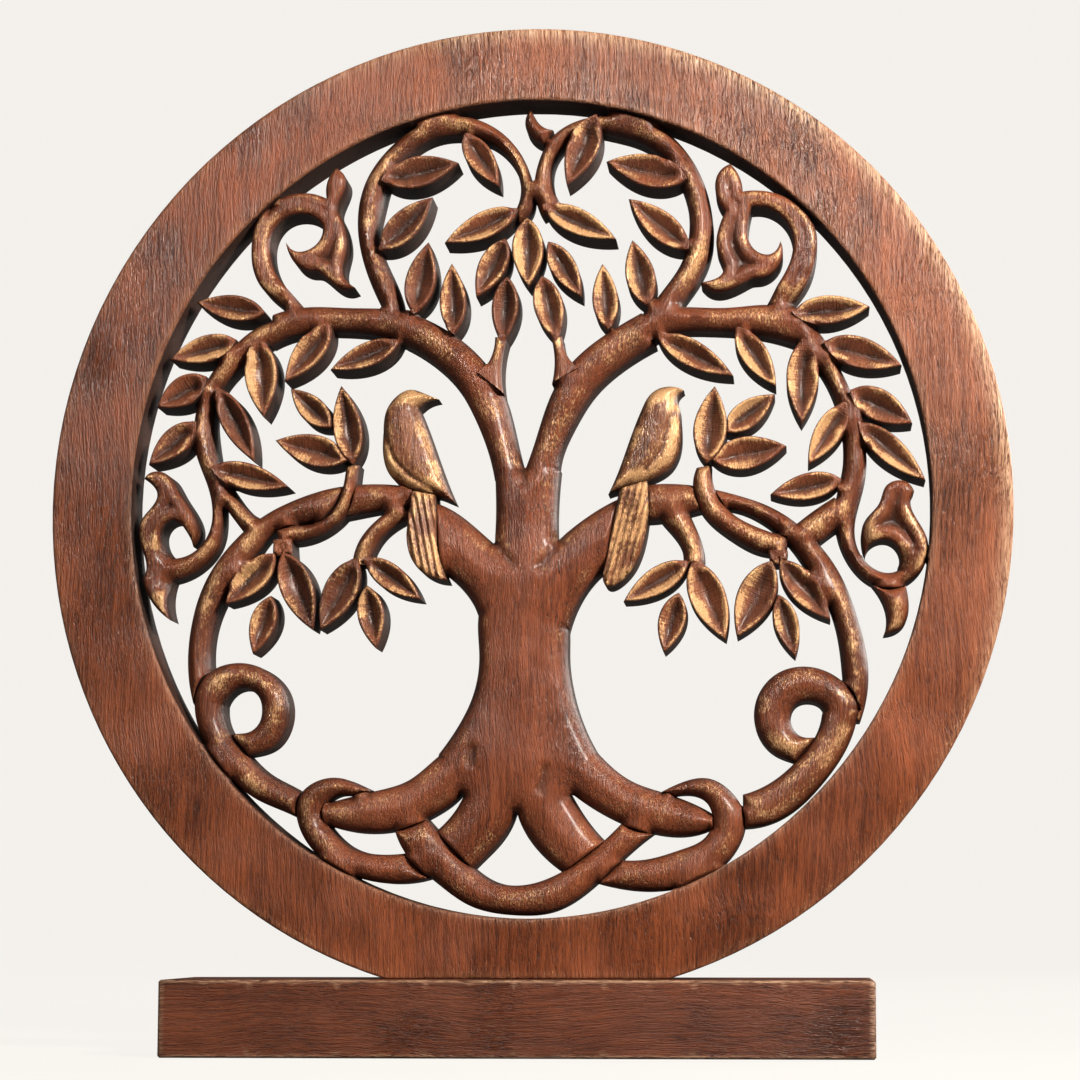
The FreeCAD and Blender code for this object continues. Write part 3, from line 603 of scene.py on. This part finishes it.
RIB_WIDTH = 2.6
for name in ("left_bird_tail", "right_bird_tail"):
    outline = OUTLINES[name][0]
    centre = outline.mean(0)
    axis = np.linalg.eigh(np.cov((outline - centre).T))[1][:, -1]
    free, under = edges_of([name])

    def tail_ribs(points):
        """Long ribs side by side, going down where the body lies over them."""
        across = (points - centre) @ np.array([-axis[1], axis[0]])
        ribs = 0.5 - 0.5 * np.cos(2 * math.pi * across / RIB_WIDTH)
        drop = 2.6 * eased(reach(points, *free), 2.6)
        return 0.5 + drop + 1.1 * ribs + 1.4 * eased(reach(points, *under), 1.5)

    carve(name, bird_wood, (0.2, 0.6, 1.1), 0.62, tail_ribs, 0.25)
    CARVED.append(name)

# ------------------------------------------------------------------ leaves
# Fifteen sprays of leaves. Each leaf has a thin raised rim, hollowed with a gouge
# down to a crease along its middle, and gold on the rim. Gold also lies on the flank
# that faces the key light, as a painted highlight. Short stalks are rounded.
leaf_wood = carved_wood("leaf_wood", (0.055, 0.013, 0.006, 1), (0.3, 0.088, 0.035, 1), 1.5,
                        pores=0.6)
SPRAYS = ["left_crown_leaves", "right_crown_leaves", "center_leaves", "left_bough_leaves",
          "right_bough_leaves", "left_outer_leaves", "left_inner_leaves", "right_outer_leaves",
          "right_inner_leaves", "left_middle_leaves", "right_middle_leaves", "left_low_leaves",
          "right_low_leaves", "left_corner_leaves", "right_corner_leaves"]
STALK = 3.9                 # mm of half width; what is narrower is a stalk, not a leaf
HALF_WIDTH = {}
steps = np.linspace(-12, 12, 49)
for name in SPRAYS:
    for number, loop in enumerate(OUTLINES[name]):
        trial = loop.mean(0) + np.stack(np.meshgrid(steps, steps), -1).reshape(-1, 2)
        trial = trial[inside(trial, [loop])]
        HALF_WIDTH[name, number] = reach(trial, *segments([loop])).max()


def split_edges(name, number):
    """A leaf's free edges, and those where it has grown onto a stem or a stalk."""
    loop = OUTLINES[name][number]
    ahead = np.roll(loop, -1, 0)
    beside = just_outside(loop, TOUCHING)
    grown = np.zeros(len(loop), bool)
    for stem in STEMS:
        grown |= inside(beside, OUTLINES[stem])
    for other, shape in enumerate(OUTLINES[name]):
        if other != number and min(HALF_WIDTH[name, other], HALF_WIDTH[name, number]) < STALK:
            grown |= inside(beside, [shape])
    return (loop[~grown], ahead[~grown]), (loop[grown], ahead[grown])


for name in SPRAYS:
    solids = []
    for number, loop in enumerate(OUTLINES[name]):
        half = HALF_WIDTH[name, number]
        free, grown = split_edges(name, number)
        seed = number * 3.7 + len(name)
        axis = np.linalg.eigh(np.cov((loop - loop.mean(0)).T))[1][:, -1]
        aside = np.array([-axis[1], axis[0]])
        lean = 1.3 * noise.noise((seed, 0.5, 0.5))

        def hollowed(points):
            """A thin rim and a dish down to the crease, level where it grows onto a stem."""
            edge = reach(points, *free)
            if half < STALK:
                return 1.3 + 3.0 * eased(edge, 4)
            across = np.clip((points - loop.mean(0)) @ aside / half, -1, 1)
            share = np.clip((edge - 0.8) / (half - 0.8), 0, 1)
            dish = min(4.6, 0.74 * half) * (1 - (1 - share) ** 1.25)
            top = 1.5 * eased(edge, 1.7) + dish + 0.8 + lean * across
            away = ramp(reach(points, *grown), 0.2, 4.5)
            level = 1.5 + 1.6 * eased(edge, 2.5)
            return level + (top - level) * away + 0.2 * (1 + uneven(points, 4, seed))

        verts, faces, marks, points = cut_relief(name, [loop], (0.2, 0.55, 1.0, 1.5, 2.2, 3.0),
                                                 0.8, hollowed)
        count = len(points)
        if half >= STALK:
            marks[:count, 3] = (points - loop.mean(0)) @ axis + 50 * seed
            marks[:count, 4] = (points - loop.mean(0)) @ aside
            # gold on the flank that faces the key light on the upper right: a painted highlight
            across = (points - loop.mean(0)) @ aside * np.sign(aside[0] + 0.7 * aside[1]) / half
            inward = ramp(reach(points, *free), 1.2, 2.2)
            marks[:count, 0] += 0.4 * ramp(-across, 0.05, 0.5) * inward
        # less painted shade in the hollows where a leaf grows onto its stem
        joint = 1 - ramp(reach(points, *grown), 0.3, 2.5)
        marks[:count, 1] *= 1 - 0.75 * joint
        marks[:count, 0] *= 0.95 + 0.9 * noise.noise((seed, 8.5, 0.5))
        solids.append((verts, faces, marks))
    piece(solids, leaf_wood, name)
CARVED += SPRAYS

# ------------------------------------------------------------------ root knots
# The swag, the loops that clasp the two long roots, the curls beside them, and the twigs
# and buds higher up lie over their neighbours. All are cut from the same board, rounded
# like rope, and dive under whatever crosses them.
trunk_wood = carved_wood("trunk_wood", (0.055, 0.012, 0.005, 1), (0.29, 0.076, 0.028, 1), 0.38)
vine_wood = carved_wood("vine_wood", (0.05, 0.011, 0.005, 1), (0.27, 0.072, 0.027, 1), 0.55,
                        pores=0.8)
STRAND_ROWS = (0.2, 0.6, 1.2, 2.0, 3.0)     # mm from the edge, closest where it curves most


def dived(points, drop, under, depth, width):
    """The drop, and within width of the edges under other wood a dive to about depth."""
    dive = depth * np.clip(1 - reach(points, *under) / width, 0, 1) ** 2
    return (drop ** 3 + dive ** 3) ** (1 / 3)


def rounded(group, material, cut_below=-1.0):
    """Carves nodes that run into each other as one rounded strand."""
    free, under = edges_of(group, SPRAYS, cut_below)

    def strand_top(points):
        edge = reach(points, *free)
        drop = 3.9 * eased(edge, 5.2) + 1.5 * eased(edge, 11) + 2.4 * eased(edge, 26)
        return dived(points, drop, under, 3.4, 2.6) + 0.2 * (1 + uneven(points, 6, 5))

    for name in group:
        carve(name, material, STRAND_ROWS, 1.1, strand_top)
    CARVED.extend(group)


for name in ("left_root_loop", "right_root_loop", "root_swag"):
    rounded([name], trunk_wood)
for side in ("left", "right"):
    low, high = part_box(side + "_curl")
    rounded([side + "_curl_stem", side + "_curl"], vine_wood,
            (low.z + high.z) / 2 / MM)
for name in ("left_twig", "right_twig", "top_bud", "right_scroll_bud"):
    rounded([name], vine_wood)

# ------------------------------------------------------------------ trunk and vines
# The trunk with its roots and boughs, and the vines that grow out of them, are one
# flowing surface: rounded shoulders, upright fibres, and gold in the forks.
TREE = ["trunk", "left_root", "right_root", "left_inner_root", "right_inner_root", "left_bough",
        "right_bough", "left_lower_bough", "right_lower_bough", "left_branch", "right_branch"]
VINES = ["left_top_vine", "right_top_vine", "left_stem", "right_stem", "left_arch", "right_arch",
         "left_connector", "right_connector", "left_hanging_twig", "right_hanging_twig",
         "left_upper_scroll", "right_upper_scroll", "left_side_scroll", "right_side_scroll"]
free, under = edges_of(TREE + VINES, SPRAYS)
bearers = segments([loop for name in ("left_branch", "right_branch", "left_stem", "right_stem")
                    for loop in OUTLINES[name]])
low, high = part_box("trunk")
FORKS = np.array([[[low.x + u * (high.x - low.x), low.z + v * (high.z - low.z)] for u, v in fork]
                  for fork in (((0.54, 1.0), (0.54, 0.95)), ((0.35, 0.77), (0.47, 0.7)),
                               ((0.78, 0.78), (0.65, 0.69)), ((0.22, 0.08), (0.233, 0.12)),
                               ((0.65, 0.0), (0.68, 0.06)))]) / MM


def tree_top(points):
    """Rounded shoulders, with a crease running out of every fork."""
    edge = reach(points, *free)
    drop = 3.7 * eased(edge, 5.2) + 2.0 * eased(edge, 12) + 5.0 * eased(edge, 30)
    fork = reach(points, FORKS[:, 0], FORKS[:, 1])
    crease = 1.6 * np.clip(1 - fork / 3.5, 0, 1) ** 1.5
    return dived(points, drop, under, 3.0, 2.2) + crease + 0.2 * (1 + uneven(points, 8, 6))


def gilt_forks(points):
    """Gold in patches on both sides of the creases."""
    fork = reach(points, FORKS[:, 0], FORKS[:, 1])
    return 0.8 * np.exp(-((fork - 2) / 2.4) ** 2) * ramp(uneven(points, 3, 11), -0.5, 0.4)


for name in TREE:
    carve(name, trunk_wood, STRAND_ROWS, 1.3, tree_top, gilt_forks)


def scroll_top(points):
    """A rolled edge round a shallow dish, flowing out of the stem that bears it."""
    edge = reach(points, *free)
    dish = 3.0 * ramp(edge, 3.6, 7.5)
    drop = 2.8 * eased(edge, 3.2) + 0.5 + dish
    own = dived(points, drop, under, 3.0, 2.2) + 0.2 * (1 + uneven(points, 5, 6))
    plain = tree_top(points)
    return plain + (own - plain) * ramp(reach(points, *bearers), 0, 8)


def gilt_scrolls(points):
    """Gold along the rolled edge."""
    edge = reach(points, *free)
    return 0.55 * ramp(edge, 0.5, 1.4) * fading(edge, 1.8, 3.4)


for name in VINES:
    top, gilt = (scroll_top, gilt_scrolls) if "scroll" in name else (tree_top, 0.0)
    carve(name, vine_wood, STRAND_ROWS, 1.1, top, gilt)

# ------------------------------------------------------------------ base board
# A planed plinth board of the same wood with its grain lying sideways. Its edges
# are lightly broken, and it is drilled and counterbored below for three screws.
base_wood = carved_wood("base_wood", (0.035, 0.008, 0.004, 1), (0.19, 0.05, 0.018, 1), 0.12,
                        turn=(0, math.pi / 2, 0))
LONGEST = 0.004                     # m between two points of the planed faces
board = bmesh.new()
board.from_mesh(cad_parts["base_board"].data)
bmesh.ops.remove_doubles(board, verts=board.verts, dist=1e-6)
for _ in range(7):
    long_edges = [e for e in board.edges if e.calc_length() > LONGEST]
    if long_edges:
        bmesh.ops.subdivide_edges(board, edges=long_edges, cuts=1)
        bmesh.ops.triangulate(board, faces=board.faces)

# The plane has left the front and back a hair hollow, and the long edges are worn.
low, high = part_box("base_board")
verts = np.array([v.co for v in board.verts])
inset = np.sort(np.minimum(verts - np.array(low), np.array(high) - verts), 1) / MM
shift = np.array([noise.noise(v.co * 45) for v in board.verts]) * 0.12 * MM
for vert, move, centre in zip(board.verts, shift, verts - np.array((low + high) / 2)):
    if 0.03 < vert.co.z / high.z < 1:
        vert.co.y -= (abs(move) + 0.05 * MM) * np.sign(centre[1]) * (abs(centre[1]) > 0.025)
mesh = bpy.data.meshes.new("base_board_planed")
board.to_mesh(mesh)
board.free()
marks = np.zeros((len(verts), 6))
marks[:, 0] = marks[:, 5] = 0.9 * fading(inset[:, 1], 0.2, 1.6)
placed(mesh, marks, 30, base_wood, "base_board")

# ------------------------------------------------------------------ screws
# Three zinc-plated wood screws pass up through the plinth into the foot of the frame
# and hold it upright. Their heads lie in the counterbores underneath.
zinc = bpy.data.materials.new("zinc_plate")
zinc.use_nodes = True
shader = zinc.node_tree.nodes["Principled BSDF"]
shader.inputs["Base Color"].default_value = (0.55, 0.56, 0.57, 1)
shader.inputs["Metallic"].default_value = 1.0
haze = node(zinc.node_tree, "ShaderNodeTexNoise", {"Scale": 400.0, "Detail": 3.0,
            "Vector": node(zinc.node_tree, "ShaderNodeTexCoord").outputs["Object"]})
zinc.node_tree.links.new(between(zinc.node_tree, haze.outputs["Fac"], 0.3, 0.7, 0.3, 0.5),
                         shader.inputs["Roughness"])
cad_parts["base_screws"].data.materials.clear()
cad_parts["base_screws"].data.materials.append(zinc)

# ------------------------------------------------------------------ room
# A round studio of pale paper, its floor curving up into the wall on every side. A small
# warm key stands high on the right, with weak light from the left and a broad light behind.
pale = bpy.data.materials.new("pale_paper")
pale.use_nodes = True
paper = pale.node_tree.nodes["Principled BSDF"]
paper.inputs["Base Color"].default_value = (0.05, 0.048, 0.046, 1)
paper.inputs["Roughness"].default_value = 0.9
paper.inputs["Specular IOR Level"].default_value = 0.05
paper.inputs["Emission Color"].default_value = (1, 0.972, 0.928, 1)
seen = node(pale.node_tree, "ShaderNodeLightPath").outputs["Is Camera Ray"]
pale.node_tree.links.new(worked(pale.node_tree, "MULTIPLY_ADD", seen, 0.825, 0.07),
                         paper.inputs["Emission Strength"])
FLAT, CURVE, TALL = 3.4, 1.6, 7             # m
sweep = bmesh.new()
corner = [(FLAT + CURVE * math.sin(a), CURVE - CURVE * math.cos(a))
          for a in np.linspace(0, 1.57, 17)]
profile = [(0, 0), (FLAT / 2, 0)] + corner + [(FLAT + CURVE, TALL)]
chain = [sweep.verts.new((r, 0, z)) for r, z in profile]
for a, b in zip(chain, chain[1:]):
    sweep.edges.new((a, b))
bmesh.ops.spin(sweep, geom=sweep.verts[:] + sweep.edges[:], axis=(0, 0, 1), cent=(0, 0, 0),
               angle=math.tau, steps=96, dvec=(0, 0, 0))
bmesh.ops.remove_doubles(sweep, verts=sweep.verts, dist=1e-3)
bmesh.ops.recalc_face_normals(sweep, faces=sweep.faces)
if min(sweep.faces, key=lambda f: f.calc_center_median().length).normal.z < 0:
    bmesh.ops.reverse_faces(sweep, faces=sweep.faces)
floor = bpy.data.objects.new("floor", bpy.data.meshes.new("floor"))
sweep.to_mesh(floor.data)
sweep.free()
bpy.context.scene.collection.objects.link(floor)
floor.data.materials.append(pale)
bpy.ops.object.select_all(action="DESELECT")
floor.select_set(True)
bpy.context.view_layer.objects.active = floor
bpy.ops.object.shade_smooth()

world = bpy.data.worlds.new("studio")
world.use_nodes = True
world.node_tree.nodes["Background"].inputs["Color"].default_value = (1, 0.985, 0.96, 1)
world.node_tree.nodes["Background"].inputs["Strength"].default_value = 0.06
bpy.context.scene.world = world


def soft_light(name, place, size, watts, tint=(1, 1, 1)):
    """A square softbox aimed at the middle of the object."""
    lamp = bpy.data.lights.new(name, "AREA")
    lamp.size = size
    lamp.energy = watts
    lamp.color = tint
    made = bpy.data.objects.new(name, lamp)
    bpy.context.scene.collection.objects.link(made)
    made.location = place
    aim = (cad_low + cad_high) / 2 - made.location
    made.rotation_euler = aim.to_track_quat("-Z", "Y").to_euler()


soft_light("key", Vector((0.68, -0.7, 0.64)), 0.2, 23, (1, 0.94, 0.86))
soft_light("glint", Vector((-0.4, -0.6, 1.0)), 0.2, 1.8, (1, 0.94, 0.86))
soft_light("fill", Vector((-1.4, -1.8, 0.7)), 1.6, 4)
soft_light("back", Vector((1.2, 1.3, 0.8)), 0.9, 16, (1, 0.96, 0.9))

middle = (cad_low + cad_high) / 2
camera = bpy.data.objects.new("camera", bpy.data.cameras.new("camera"))
bpy.context.scene.collection.objects.link(camera)
camera.location = middle + Vector((0.1068, -1.07, -0.156))
target = middle + Vector((0.0428, -0.010, -0.056))
camera.rotation_euler = (target - camera.location).to_track_quat("-Z", "Y").to_euler()
camera.data.sensor_width = 36
camera.data.lens = 90.0
camera.data.shift_x = -0.088
camera.data.shift_y = 0.1228
camera.data.clip_start = 0.05
bpy.context.scene.camera = camera
bpy.context.scene.view_settings.view_transform = "Standard"
